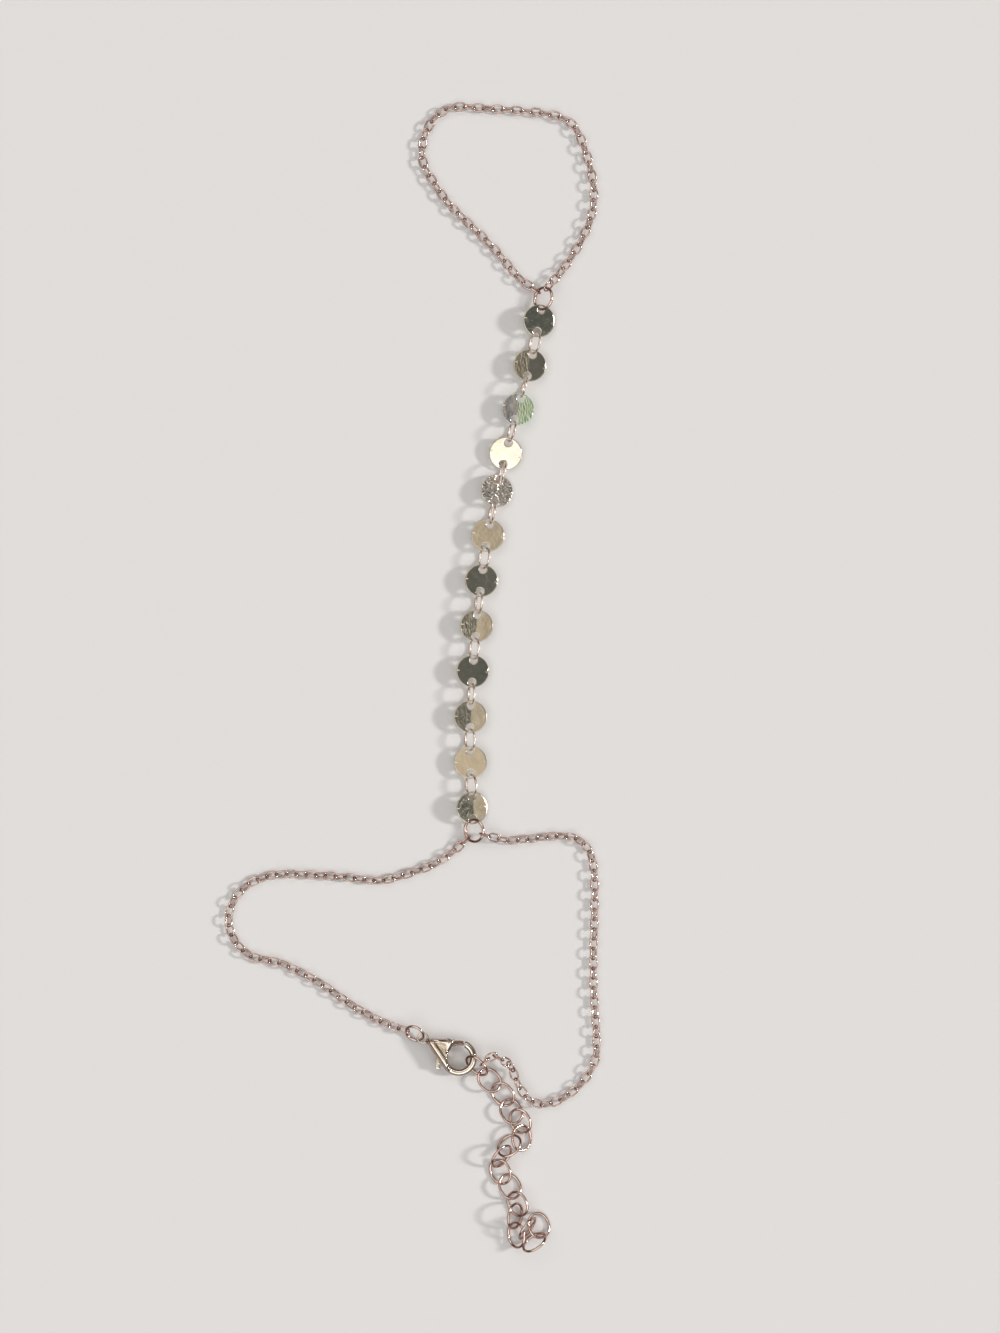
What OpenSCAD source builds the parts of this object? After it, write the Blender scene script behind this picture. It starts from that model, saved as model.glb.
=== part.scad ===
// Hand chain bracelet, lying as it rests on a table.
// A fine oval-link chain makes the finger loop. A line of small discs on jump rings runs
// down the back of the hand to a second jump ring, where the wrist chain begins on both
// sides. The wrist chain closes with a lobster clasp on a chain of larger links.
// Millimetres, Z up from the table, Y along the disc line.

/* [Discs] */
// Number of discs in the line
disc_count = 12; // [8:1:12]
// Diameter of a disc
disc_d = 5.1; // [4.8:0.1:5.6]
// Thickness of a disc
disc_t = 0.25; // [0.2:0.05:0.3]
// Diameter of the two holes in a disc
hole_d = 1.2; // [1.15:0.05:1.4]
// Metal between a hole and the rim
hole_edge = 0.2; // [0.15:0.05:0.35]

/* [Jump rings] */
// Outer diameter of a ring between two discs
disc_ring_d = 3.6; // [3.4:0.1:4]
// Wire of a ring between two discs
disc_ring_wire = 0.4; // [0.3:0.05:0.45]
// Outer diameter of the rings at both ends of the disc line
end_ring_d = 3.9; // [3.7:0.1:4.2]
// Wire of the rings at both ends of the disc line
end_ring_wire = 0.45; // [0.35:0.05:0.5]
// Outer diameter of the ring that carries the clasp
clasp_ring_d = 3.3; // [3.1:0.1:3.6]
// Wire of the ring that carries the clasp
clasp_ring_wire = 0.42; // [0.34:0.04:0.46]

/* [Fine chain] */
// Length of a fine link
fine_l = 2.2; // [2.1:0.05:2.4]
// Width of a fine link
fine_w = 1.45; // [1.4:0.05:1.6]
// Wire of a fine link
fine_wire = 0.25; // [0.22:0.01:0.27]

/* [Extender chain] */
// Number of extender links
extender_count = 16; // [12:1:16]
// Length of an extender link
extender_l = 4.4; // [4.2:0.1:4.7]
// Width of an extender link
extender_w = 3.75; // [3.6:0.05:3.9]
// Wire of an extender link
extender_wire = 0.5; // [0.4:0.05:0.55]

/* [Clasp] */
// Radius of the round opening in the claw
claw_opening_r = 1.8; // [1.7:0.05:1.9]
// Width of the claw seen from above
claw_w = 1.05; // [0.9:0.05:1.15]
// Thickness of the claw
claw_t = 1.1; // [0.9:0.05:1.2]
// Thickness of the clasp's back, over both cheeks
back_t = 2.1; // [1.9:0.1:2.2]
// Distance from the eye to the middle of the claw's opening
eye_to_claw = 6.4; // [6.2:0.1:6.8]
// Diameter of the hole in the eye
eye_hole_d = 1.2; // [1.15:0.05:1.4]
// Wire of the eye
eye_wire = 0.4; // [0.34:0.02:0.44]
// Diameter of the lever's pin
pin_d = 0.5; // [0.4:0.05:0.6]
// Thickness of the lever
lever_t = 0.7; // [0.6:0.05:0.8]

/* [Fit] */
// Clear space between neighbouring wires
wire_gap = 0.17; // [0.14:0.01:0.2]
// Clear space round the lever
lever_gap = 0.1; // [0.08:0.01:0.14]

/* [Hidden] */

gold = "#c9a68a";
pale_gold = "#d9c9a6";
disc_gold = "#cdbb97";
round_sides = 32;
wire_sides = 16;

// The discs and what joins them
// A ring's wire stands this far from a hole's middle, towards the other disc
ring_play = 0.2;
end_ring_play = 0.1;
disc_ring_r = (disc_ring_d - disc_ring_wire) / 2;
end_ring_r = (end_ring_d - end_ring_wire) / 2;
clasp_ring_r = (clasp_ring_d - clasp_ring_wire) / 2;
hole_r = disc_d / 2 - hole_edge - hole_d / 2;
disc_pitch = 2 * (hole_r + disc_ring_r + ring_play);
end_pitch = hole_r + end_ring_r + end_ring_play;
// The fifth disc is pushed up towards the fourth, by this much, so the ring between them
// stands off the disc line
tucked_ring = 4;
tuck = 1.1;
// How far each ring leans from lying flat, its right side up, from the first to the eleventh
ring_lean = [62, 82, 74, 78, 77, 62, 72, 64, 72, 62, 60];
// How far each disc leans the other way, its right side down
disc_lean = [18, 6, 2, 2, 14, 0, 4, 6, 8, 6, 0, 17];
finger_ring_lean = 40;
wrist_ring_lean = 34;
// Few chosen points of the line that the discs hang on, from the first ring to past the last
disc_route = [[20.5, 58.7, 0], [18.4, 48.3, 0], [14.5, 34, 0], [11.8, 21.4, 0], [10, 6.9, 0],
  [9.1, -7.5, 0], [9.4, -20, 0], [9.9, -26.5, 0], [10.3, -33, 0]];

// The fine chains
// Every second link leans this far from lying flat, and the ones between are turned from it by
// link_turn. The lean drifts along the chain by a few degrees.
finger_roll = 14;
left_roll = 24;
right_roll = 20;
link_turn = 70;
roll_drift = 5;
drift_links = 9;
fine_pitch = fine_l - 2 * fine_wire - wire_gap;
fine_play = 0.03;
fine_rest = (fine_w - fine_wire) / 2 + fine_wire / 2 + fine_play;
eased_links = 4;
// Where each chain meets its rings, as an angle round the ring
finger_ends = [145, 80];
left_ends = [220, 105];
right_start = -22;
// Few chosen points of each chain: x, y and how far the chain is lifted from the table
finger_route = [[16.7, 61.9, 0.1], [13.9, 65.3, 0], [10.8, 68.6, 0], [6.1, 73.1, 0], [3.6, 76.5, 0],
  [1.7, 80, 0], [1.8, 83.7, 0], [3.6, 87, 0], [6.4, 88.6, 0], [11.5, 88.4, 0], [17, 88, 0],
  [22, 87.4, 0], [25.1, 85.9, 0], [27, 82, 0], [28.3, 76.8, 0], [28.2, 72.5, 0], [26.8, 68.5, 0],
  [24.6, 64.8, 0], [22.8, 62.3, 0.4]];
left_route = [[6, -27.9, 0.1], [3.3, -29.6, 0], [-0.5, -31, 0], [-5, -32.1, 0], [-10, -31.6, 0],
  [-16, -31.2, 0], [-21.5, -31.2, 0], [-26, -33, 0], [-28.4, -36.5, 0], [-28.2, -40.5, 0],
  [-25.3, -43.8, 0], [-20.4, -45, 0], [-14.5, -48, 0], [-9, -51.8, 0], [-4.5, -54.2, 0]];
right_route = [[14.8, -25.8, 0.3], [19, -25.5, 0], [23.5, -25.1, 0], [26.6, -26.1, 0], [28.3, -29.5, 0],
  [28.5, -37, 0], [28.3, -44, 0], [28.4, -50, 0], [28.8, -56, 0], [28.6, -60.2, 0], [26.2, -64, 0],
  [22.5, -66.6, 0.1], [19.4, -66.9, 0.3], [17, -64.7, 0.9], [15.4, -60.9, 0.5], [14.9, -60.4, 1.5],
  [12.4, -59, 1.9], [12.3, -59.3, 1.9]];

// The extender chain. Each link after the first one is placed by hand as it lies: x, y, the
// way its length points and how far it leans from lying flat
extender_r = (extender_w - extender_wire) / 2;
extender_places = [[12.1, -63.2, -44, -25], [14.2, -65.4, -51, 22], [15.5, -68.1, -56, -20],
  [16.9, -69.6, -63, 25], [17.1, -72.2, -88, -30], [15.2, -73.4, -145, 39], [14, -75, -128, -50],
  [13.8, -77.5, -68, 24], [15.3, -79.8, -58, -23], [16.5, -82.5, -68, 30], [16.1, -84.3, -98, -50],
  [16.3, -87.3, -85, 42], [18, -86.2, 55, 68], [19.8, -85.9, 113, 21], [19.1, -88.4, 33, -60]];

// The clasp, with its eye at the origin and its claw along X
clasp_eye = [1.7, -56.6, 1.35];
clasp_turn = -28.5;
claw_r = claw_opening_r + claw_w / 2;
eye_r = (eye_hole_d + eye_wire) / 2;
neck_l = 0.45;
neck_x = eye_r + neck_l;
neck_w = 1;
neck_wire = 0.7;
bevel = 0.3;
claw_from = -132;
claw_to = 100;
pin_before_claw = 2.6;
pin_aside = 1.35;
pivot = [eye_to_claw - pin_before_claw, pin_aside];
pin_head = 0.16;
arm_past_pin = 0.85;
// The lever has a hub on the pin, a gate that reaches the claw's tip and a thumb tab
hub_r = 0.6;
gate_r = 2.5;
gate_w = 0.72;
gate_low = 0.25;
thumb_tab = [[-0.35, -0.4], [-0.55, -2.9], [0.25, -4.6], [0.9, -4.35], [0.15, -2.8], [0.15, -0.4]];
// The lever opens inward by this much. The back is hollow wherever the gate and the tab pass,
// between the directions that they reach when closed and when open.
gate_swing = 20;
gate_reach = [-32, 75];
tab_reach = [-130, -68];
gate_slot = [gate_reach[0] - gate_swing, gate_reach[1]];
tab_slot = [tab_reach[0] - gate_swing, tab_reach[1]];

function two_digits(i) = str(i < 10 ? "0" : "", i);
function disc_name(i) = str("disc_", two_digits(i));
function disc_ring_name(i) = str("disc_ring_", two_digits(i));
function extender_name(i) = str("extender_link_", two_digits(i));

// A smooth curve through a route's points, and the length run at each of its points
curve_steps = 8;
function curve_point(a, b, c, d, t) = 0.5 * (2 * b + (c - a) * t
  + (2 * a - 5 * b + 4 * c - d) * t * t + (3 * b - a - 3 * c + d) * t * t * t);
function curve(route) = let (last = len(route) - 1) concat(
  [for (i = [0 : last - 1], k = [0 : curve_steps - 1])
    curve_point(route[max(i - 1, 0)], route[i], route[i + 1], route[min(i + 2, last)], k / curve_steps)],
  [route[last]]);
function runs(path) = [for (i = 0, run = 0; i < len(path);
  run = run + norm(path[min(i + 1, len(path) - 1)] - path[i]), i = i + 1) run];
function track(route) = let (path = curve(route), run = runs(path))
  [for (axis = [0 : 2]) [for (i = [0 : len(path) - 1]) [run[i], path[i][axis]]]];
function track_length(line) = line[0][len(line[0]) - 1][0];
function at(line, run) = [for (axis = [0 : 2]) lookup(run, line[axis])];
function heading(step) = atan2(step[1], step[0]);
function climb(step) = atan2(step[2], norm([step[0], step[1]]));

// A point on a leaning ring's wire, or this far inside it
function on_ring(centre, lean, turn, r, angle) = let (
  side = r * cos(angle) * cos(lean), ahead = r * sin(angle))
  centre + [side * cos(turn) - ahead * sin(turn), side * sin(turn) + ahead * cos(turn),
    r * cos(angle) * sin(lean)];

disc_line = track(disc_route);
function disc_run(i) = end_pitch + (i - 1) * disc_pitch - (i > tucked_ring ? tuck : 0);
function line_turn(run) = heading(at(disc_line, run + 1) - at(disc_line, run - 1)) + 90;
function ring_run(i) = (disc_run(i) + disc_run(i + 1)) / 2;
// How far a ring's middle stands to its raised side from the line through its two holes
function ring_off(i) = i == tucked_ring
  ? sqrt(pow(disc_ring_r, 2) - pow(disc_ring_r + ring_play - tuck / 2, 2)) : 0;
function ring_height(i) = (disc_ring_r - ring_off(i)) * sin(ring_lean[i - 1]) + disc_ring_wire / 2;
// The low sides of these two rings lie on the end links of the chains, this far off the table
ring_rest = 0.28;
finger_ring_height = end_ring_r * sin(finger_ring_lean) + end_ring_wire / 2 + ring_rest;
wrist_ring_height = end_ring_r * sin(wrist_ring_lean) + end_ring_wire / 2 + ring_rest;
wrist_ring_run = disc_run(disc_count) + end_pitch;
function joint_run(i) = i == 0 ? 0 : i == disc_count ? wrist_ring_run : ring_run(i);
function joint_height(i) = i == 0 ? finger_ring_height : i == disc_count ? wrist_ring_height : ring_height(i);
function lifted(point, height) = [point[0], point[1], height];

finger_ring_at = lifted(at(disc_line, 0), finger_ring_height);
finger_ring_turn = line_turn(1);
wrist_ring_at = lifted(at(disc_line, wrist_ring_run), wrist_ring_height);
wrist_ring_turn = line_turn(wrist_ring_run);

function ring_wire_along(lean, turn, angle) = on_ring([0, 0, 0], lean, turn, 1, angle + 90);

// The clasp's ring leans about the line from the chain to the eye
clasp_ring_lean = 42;
clasp_ring_turn = 60;
eye_angle = -90;
clasp_ring_at = clasp_eye - on_ring([0, 0, 0], clasp_ring_lean, clasp_ring_turn, clasp_ring_r, eye_angle);

// The first extender link goes round the claw: where its middle lies from the claw's middle,
// and how it leans, dips and turns
hook_link_from_claw = [2.8, -1.25, 0.2];
hook_link_angles = [50, 8, -47];
// The wrist chain's last link holds this link beside its middle
hook_link_shift = 0.1;
hook_link_at = clasp_eye + eye_to_claw * [cos(clasp_turn), sin(clasp_turn), 0] + hook_link_from_claw;

// A point turned about the three axes in order, as a link is
function turned(point, angles) = let (
  rolled = [point[0], point[1] * cos(angles[0]) - point[2] * sin(angles[0]),
    point[1] * sin(angles[0]) + point[2] * cos(angles[0])],
  dipped = [rolled[0] * cos(angles[1]) + rolled[2] * sin(angles[1]), rolled[1],
    rolled[2] * cos(angles[1]) - rolled[0] * sin(angles[1])])
  [dipped[0] * cos(angles[2]) - dipped[1] * sin(angles[2]),
    dipped[0] * sin(angles[2]) + dipped[1] * cos(angles[2]), dipped[2]];

// Every extender link rests on the table
function extender_at(i) = i == 1 ? hook_link_at : let (place = extender_places[i - 2])
  [place[0], place[1], extender_r * sin(abs(place[3])) + extender_wire / 2];
function extender_angles(i) = i == 1 ? hook_link_angles
  : [extender_places[i - 2][3], 0, extender_places[i - 2][2]];

module wire_ring(d, wire) {
  rotate_extrude($fn = round_sides) translate([(d - wire) / 2, 0]) circle(d = wire, $fn = wire_sides);
}

// An oval link: two half rings joined by two straight wires
module oval_link(l, w, wire) {
  r = (w - wire) / 2;
  half = (l - w) / 2;
  for (side = [0, 1]) mirror([side, 0, 0]) {
    translate([half, 0, 0]) rotate([0, 0, -90])
      rotate_extrude(angle = 180, $fn = round_sides) translate([r, 0]) circle(d = wire, $fn = wire_sides);
    translate([0, (2 * side - 1) * r, 0]) rotate([0, 90, 0])
      cylinder(d = wire, h = 2 * half, center = true, $fn = wire_sides);
  }
}

// How an end link turns about its own length so that its opening faces the wire it holds
function facing_roll(wire_along, step) = let (
  side = [-sin(heading(step)), cos(heading(step)), 0],
  angle = atan2(-wire_along * side, wire_along * cross(step / norm(step), side)))
  least_turn(angle);

// An angle that leaves a link as it is when turned by it, brought to within a quarter turn
function least_turn(angle) = angle - 180 * round(angle / 180);

// 1 where an end link is nearer to the links that are turned by link_turn, 0 where to the others
function stands(angle) = abs(least_turn(angle)) > abs(least_turn(angle + link_turn)) ? 1 : 0;

// Links along a route, every second one turned by link_turn. The few links at each end turn a
// little more, so that the last one faces the wire it holds.
module chain(route, lean, first_wire, last_wire) {
  line = track(route);
  total = track_length(line);
  least = ceil(total / fine_pitch);
  first_roll = facing_roll(first_wire, at(line, fine_pitch) - at(line, 0));
  last_roll = facing_roll(last_wire, at(line, total) - at(line, total - fine_pitch));
  first_stands = stands(first_roll - lean);
  last_stands = stands(last_roll - lean);
  count = least + ((least - 1 + first_stands) % 2 == last_stands ? 0 : 1);
  joints = [for (k = [0 : count]) at(line, total * k / count)];
  first_ease = least_turn(first_roll - lean + link_turn * first_stands);
  last_ease = least_turn(last_roll - lean + link_turn * last_stands);
  for (k = [0 : count - 1]) {
    step = joints[k + 1] - joints[k];
    near_first = max(0, 1 - k / eased_links);
    near_last = max(0, 1 - (count - 1 - k) / eased_links);
    drift = roll_drift * sin(360 * k / drift_links) * (1 - near_first) * (1 - near_last);
    roll = lean - link_turn * ((k + first_stands) % 2) + drift
      + first_ease * near_first + last_ease * near_last;
    translate((joints[k] + joints[k + 1]) / 2) rotate([roll, -climb(step), heading(step)])
      oval_link(fine_l, fine_w, fine_wire);
  }
}

// The point where a chain's end link holds a wire: just past the wire, seen from the chain
function held(wire_at, wire, chain_at) = let (step = chain_at - wire_at)
  wire_at - (wire + wire_gap) / 2 * step / norm(step);

// A route lifted so that its links lie on the table, with the wires that its ends hold
function between(first_at, first_wire, route, last_at, last_wire) = let (
  raised = [for (point = route) point + [0, 0, fine_rest]])
  concat([held(first_at, first_wire, raised[0])], raised,
    [held(last_at, last_wire, raised[len(raised) - 1])]);

module finger_chain() {
  start = on_ring(finger_ring_at, finger_ring_lean, finger_ring_turn, end_ring_r, finger_ends[0]);
  end = on_ring(finger_ring_at, finger_ring_lean, finger_ring_turn, end_ring_r, finger_ends[1]);
  color(gold) chain(between(start, end_ring_wire, finger_route, end, end_ring_wire), finger_roll,
    ring_wire_along(finger_ring_lean, finger_ring_turn, finger_ends[0]),
    ring_wire_along(finger_ring_lean, finger_ring_turn, finger_ends[1]));
}

module finger_ring() {
  color(gold) translate(finger_ring_at) rotate([0, -finger_ring_lean, finger_ring_turn])
    wire_ring(end_ring_d, end_ring_wire);
}

module disc(i) {
  before = lifted(at(disc_line, joint_run(i - 1)), joint_height(i - 1));
  after = lifted(at(disc_line, joint_run(i)), joint_height(i));
  share = (disc_run(i) - joint_run(i - 1)) / (joint_run(i) - joint_run(i - 1));
  pitch = climb(before - after);
  centre = lifted(at(disc_line, disc_run(i)), before[2] + (after[2] - before[2]) * share);
  color(disc_gold) translate(centre) rotate([pitch, disc_lean[i - 1], line_turn(disc_run(i))])
    difference() {
      cylinder(d = disc_d, h = disc_t, center = true, $fn = 64);
      for (end = [-1, 1]) translate([0, end * hole_r, 0])
        cylinder(d = hole_d, h = 2 * disc_t, center = true, $fn = round_sides);
    }
}

module disc_ring(i) {
  centre = lifted(at(disc_line, ring_run(i)), ring_height(i));
  color(gold) translate(centre) rotate([0, -ring_lean[i - 1], line_turn(ring_run(i))])
    translate([ring_off(i), 0]) wire_ring(disc_ring_d, disc_ring_wire);
}

module wrist_ring() {
  color(gold) translate(wrist_ring_at) rotate([0, -wrist_ring_lean, wrist_ring_turn])
    wire_ring(end_ring_d, end_ring_wire);
}

module wrist_chain_left() {
  start = on_ring(wrist_ring_at, wrist_ring_lean, wrist_ring_turn, end_ring_r, left_ends[0]);
  end = on_ring(clasp_ring_at, clasp_ring_lean, clasp_ring_turn, clasp_ring_r, left_ends[1]);
  color(gold) chain(between(start, end_ring_wire, left_route, end, clasp_ring_wire), left_roll,
    ring_wire_along(wrist_ring_lean, wrist_ring_turn, left_ends[0]),
    ring_wire_along(clasp_ring_lean, clasp_ring_turn, left_ends[1]));
}

module wrist_chain_right() {
  start = on_ring(wrist_ring_at, wrist_ring_lean, wrist_ring_turn, end_ring_r, right_start);
  end = extender_at(1) + turned([hook_link_shift, extender_r, 0], hook_link_angles);
  color(gold) chain(between(start, end_ring_wire, right_route, end, extender_wire), right_roll,
    ring_wire_along(wrist_ring_lean, wrist_ring_turn, right_start), turned([1, 0, 0], hook_link_angles));
}

module clasp_ring() {
  color(gold) translate(clasp_ring_at) rotate([0, -clasp_ring_lean, clasp_ring_turn])
    wire_ring(clasp_ring_d, clasp_ring_wire);
}

module extender_link(i) {
  color(gold) translate(extender_at(i)) rotate(extender_angles(i))
    oval_link(extender_l, extender_w, extender_wire);
}

module clasp_place() {
  translate(clasp_eye) rotate([0, 0, clasp_turn]) children();
}

// The clasp's back seen from above: a small circle at the neck and the claw's circle, joined
// by the two lines that touch both
module teardrop(edge) {
  small = neck_w / 2 - edge;
  large = claw_r + claw_w / 2 - edge;
  span = eye_to_claw - neck_x;
  lean = acos((small - large) / span);
  translate([neck_x, 0]) circle(r = small, $fn = 24);
  translate([eye_to_claw, 0]) circle(r = large, $fn = 64);
  polygon([for (side = [-1, 1], end = side > 0 ? [1, 0] : [0, 1])
    [neck_x + end * span, 0] + (end > 0 ? large : small) * [cos(lean), side * sin(lean)]]);
}

// The part of the back that stays: the arm ends past the pin, the other side at the claw
module back_outline(edge) {
  difference() {
    teardrop(edge);
    translate([pivot[0] + arm_past_pin - edge, 0]) square(2 * eye_to_claw);
    translate([eye_to_claw - claw_opening_r / 2, -2 * eye_to_claw]) square(4 * eye_to_claw);
    translate([eye_to_claw, 0]) circle(r = claw_opening_r, $fn = 64);
  }
}

// A slice round the pin, between two directions, that reaches out of the clasp
module swing_slice(ends) {
  polygon(concat([[0, 0]], [for (k = [0 : 3]) let (angle = ends[0] + (ends[1] - ends[0]) * k / 3)
    2 * gate_r * [cos(angle), sin(angle)]]));
}

module clasp_body() {
  color(pale_gold) clasp_place() {
    wire_ring(eye_hole_d + 2 * eye_wire, eye_wire);
    difference() {
      union() {
        linear_extrude(back_t - 2 * bevel, center = true) back_outline(0);
        linear_extrude(back_t, center = true) back_outline(bevel);
      }
      translate([pivot[0], pivot[1], -lever_t / 2 - lever_gap]) linear_extrude(lever_t + 2 * lever_gap) {
        circle(r = hub_r + lever_gap, $fn = round_sides);
        swing_slice(gate_slot);
        swing_slice(tab_slot);
      }
    }
    difference() {
      translate([eye_to_claw, 0, 0]) rotate([0, 0, claw_from])
        rotate_extrude(angle = claw_to - claw_from, $fn = 64) translate([claw_r, 0]) claw_section();
      translate([pivot[0], pivot[1], 0])
        cylinder(r = gate_r + lever_gap, h = 2 * claw_t, center = true, $fn = 64);
    }
    translate([pivot[0], pivot[1], 0]) cylinder(d = pin_d, h = back_t + pin_head, center = true, $fn = 24);
    translate([eye_r, 0, 0]) rotate([0, 90, 0]) cylinder(d = neck_wire, h = neck_l, $fn = 24);
  }
}

// The claw's section, a bevelled block
module claw_section() {
  flat = 0.45;
  polygon([for (corner = [[1, flat], [flat, 1], [-flat, 1], [-1, flat], [-1, -flat], [-flat, -1],
    [flat, -1], [1, -flat]]) [corner[0] * claw_w / 2, corner[1] * claw_t / 2]]);
}

module clasp_lever() {
  color(pale_gold) clasp_place() difference() {
    linear_extrude(lever_t, center = true) {
      translate(pivot) circle(r = hub_r, $fn = round_sides);
      intersection() {
        translate(pivot) circle(r = gate_r, $fn = 64);
        translate([eye_to_claw, 0]) difference() {
          circle(r = claw_r + gate_w / 2, $fn = 64);
          circle(r = claw_r - gate_w / 2, $fn = 64);
          translate([-2 * eye_to_claw, pivot[1] - gate_low - 4 * eye_to_claw]) square(4 * eye_to_claw);
        }
      }
      polygon([for (corner = thumb_tab) pivot + corner]);
    }
    translate([pivot[0], pivot[1], 0])
      cylinder(d = pin_d + 2 * lever_gap, h = 2 * lever_t, center = true, $fn = 24);
  }
}

finger_chain();
finger_ring();
for (i = [1 : disc_count]) disc(i);
for (i = [1 : disc_count - 1]) disc_ring(i);
wrist_ring();
wrist_chain_left();
wrist_chain_right();
clasp_ring();
clasp_body();
clasp_lever();
for (i = [1 : extender_count]) extender_link(i);
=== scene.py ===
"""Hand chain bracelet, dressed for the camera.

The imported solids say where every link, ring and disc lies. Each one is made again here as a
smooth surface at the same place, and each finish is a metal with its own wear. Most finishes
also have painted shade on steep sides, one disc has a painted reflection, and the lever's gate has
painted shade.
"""

from __future__ import annotations
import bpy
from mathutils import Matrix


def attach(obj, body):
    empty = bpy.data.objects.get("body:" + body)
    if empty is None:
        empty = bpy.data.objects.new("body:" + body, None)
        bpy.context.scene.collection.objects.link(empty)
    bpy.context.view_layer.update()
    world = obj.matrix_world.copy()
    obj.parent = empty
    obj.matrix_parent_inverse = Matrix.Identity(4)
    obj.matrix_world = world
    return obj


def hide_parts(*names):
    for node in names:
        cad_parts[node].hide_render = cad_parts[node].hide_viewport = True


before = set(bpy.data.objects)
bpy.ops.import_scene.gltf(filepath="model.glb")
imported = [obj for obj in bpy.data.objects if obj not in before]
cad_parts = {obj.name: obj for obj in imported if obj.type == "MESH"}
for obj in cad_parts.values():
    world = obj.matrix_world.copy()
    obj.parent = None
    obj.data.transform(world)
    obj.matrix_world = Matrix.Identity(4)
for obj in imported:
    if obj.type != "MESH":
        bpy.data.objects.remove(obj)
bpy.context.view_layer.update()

import logging
import math
from dataclasses import dataclass, replace
from enum import Enum

import bmesh
import bpy
import numpy as np
from mathutils import Vector

log = logging.getLogger("bracelet")

MM = 0.001
BODY = "bracelet"
LEVER = "lever"

Colour = tuple[float, float, float]
Stops = tuple[tuple[float, Colour], ...]
Stretch = tuple[float, float, float]
Socket = bpy.types.NodeSocket
Mixed = Colour | Socket


# Mesh helpers


def grid_quads(rows: int, columns: int, wrap_rows: bool, wrap_columns: bool) -> np.ndarray:
    """Quads of a grid of points stored row by row.

    Args:
        rows: number of points down the grid.
        columns: number of points across it.
        wrap_rows: whether the last row joins the first.
        wrap_columns: whether the last column joins the first.

    Returns:
        Array of four point numbers for each quad, turning from rows to columns.
    """
    r = np.arange(rows if wrap_rows else rows - 1)
    c = np.arange(columns if wrap_columns else columns - 1)
    r, c = np.meshgrid(r, c, indexing="ij")
    down, across = (r + 1) % rows, (c + 1) % columns
    quads = [r * columns + c, down * columns + c, down * columns + across, r * columns + across]
    return np.stack(quads, axis=-1).reshape(-1, 4)


def make_object(name: str, points: np.ndarray, quads: np.ndarray) -> bpy.types.Object:
    """Puts points and quads into a smooth shaded mesh object at the origin.

    Args:
        name: the piece's name.
        points: array of points in metres.
        quads: array of four point numbers for each face, seen anticlockwise from outside.

    Returns:
        The new object, linked to the scene.
    """
    mesh = bpy.data.meshes.new(name)
    mesh.vertices.add(len(points))
    mesh.vertices.foreach_set("co", np.ascontiguousarray(points, np.float32).ravel())
    mesh.loops.add(quads.size)
    mesh.loops.foreach_set("vertex_index", np.ascontiguousarray(quads, np.int32).ravel())
    mesh.polygons.add(len(quads))
    mesh.polygons.foreach_set("loop_start", np.arange(0, quads.size, 4, dtype=np.int32))
    mesh.update(calc_edges=True)
    mesh.validate()
    mesh.shade_smooth()
    obj = bpy.data.objects.new(name, mesh)
    bpy.context.scene.collection.objects.link(obj)
    return obj


def welded(points: np.ndarray, quads: np.ndarray) -> tuple[np.ndarray, np.ndarray]:
    """Merges points that lie on each other to a tenth of a micrometre.

    Args:
        points: array of points in metres.
        quads: array of four point numbers for each face.

    Returns:
        The points kept and the quads renumbered to them.
    """
    key = np.round(points / (1e-4 * MM)).astype(np.int64)
    _, first, number = np.unique(key, axis=0, return_index=True, return_inverse=True)
    return points[first], number.reshape(-1)[quads]


@dataclass(frozen=True)
class Places:
    """Where the loose solids of a CAD node lie: middles, and axes as rows, longest first."""

    middles: np.ndarray
    axes: np.ndarray

    @staticmethod
    def of(node: str) -> "Places":
        """Finds each loose solid of a node and its three axes.

        The triangles that share a point belong to one solid. A solid's axes are those of its
        surface's second moments: the longest way first and the thinnest way last.

        Args:
            node: the CAD node's name.

        Returns:
            The middles and axes of its solids, in the order in which the solids start.
        """
        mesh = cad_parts[node].data
        co = np.zeros(len(mesh.vertices) * 3, np.float32)
        mesh.vertices.foreach_get("co", co)
        mesh.calc_loop_triangles()
        tri = np.zeros(len(mesh.loop_triangles) * 3, np.int32)
        mesh.loop_triangles.foreach_get("vertices", tri)
        points, number = np.unique(co.reshape(-1, 3), axis=0, return_inverse=True)
        tri = number.reshape(-1)[tri.reshape(-1, 3)]
        label = np.arange(len(points))
        while True:
            low = label[tri].min(axis=1)
            new = label.copy()
            np.minimum.at(new, tri.ravel(), np.repeat(low, 3))
            new = new[new]
            if np.array_equal(new, label):
                break
            label = new
        _, solid = np.unique(label[tri[:, 0]], return_inverse=True)
        solid = solid.reshape(-1)
        corner = points[tri].astype(np.float64)
        across = np.cross(corner[:, 1] - corner[:, 0], corner[:, 2] - corner[:, 0])
        area = 0.5 * np.linalg.norm(across, axis=1)
        total = np.bincount(solid, area)
        weighed = area[:, None] * corner.mean(axis=1)
        middle = np.stack([np.bincount(solid, weighed[:, k]) for k in range(3)], axis=1)
        middle /= total[:, None]
        corner -= middle[solid][:, None]
        sums = corner.sum(axis=1)
        moment = np.einsum("tij,tik->tjk", corner, corner) + np.einsum("ti,tj->tij", sums, sums)
        moment *= (area / 12)[:, None, None]
        second = np.zeros((len(total), 3, 3))
        np.add.at(second, solid, moment)
        _, vectors = np.linalg.eigh(second)
        long_way, thin_way = vectors[:, :, 2], vectors[:, :, 0]
        long_way = long_way * np.where(long_way[:, :1] < 0, -1.0, 1.0)
        thin_way = thin_way * np.where(thin_way[:, 2:] < 0, -1.0, 1.0)
        side_way = np.cross(thin_way, long_way)
        return Places(middle, np.stack([long_way, side_way, thin_way], axis=1))

    def put(self, points: np.ndarray) -> np.ndarray:
        """Lays a copy of some points at every place.

        Args:
            points: points in metres in a piece's own axes.

        Returns:
            Array of the points at each place, places first.
        """
        return np.einsum("pj,sjk->spk", points, self.axes) + self.middles[:, None]


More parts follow.
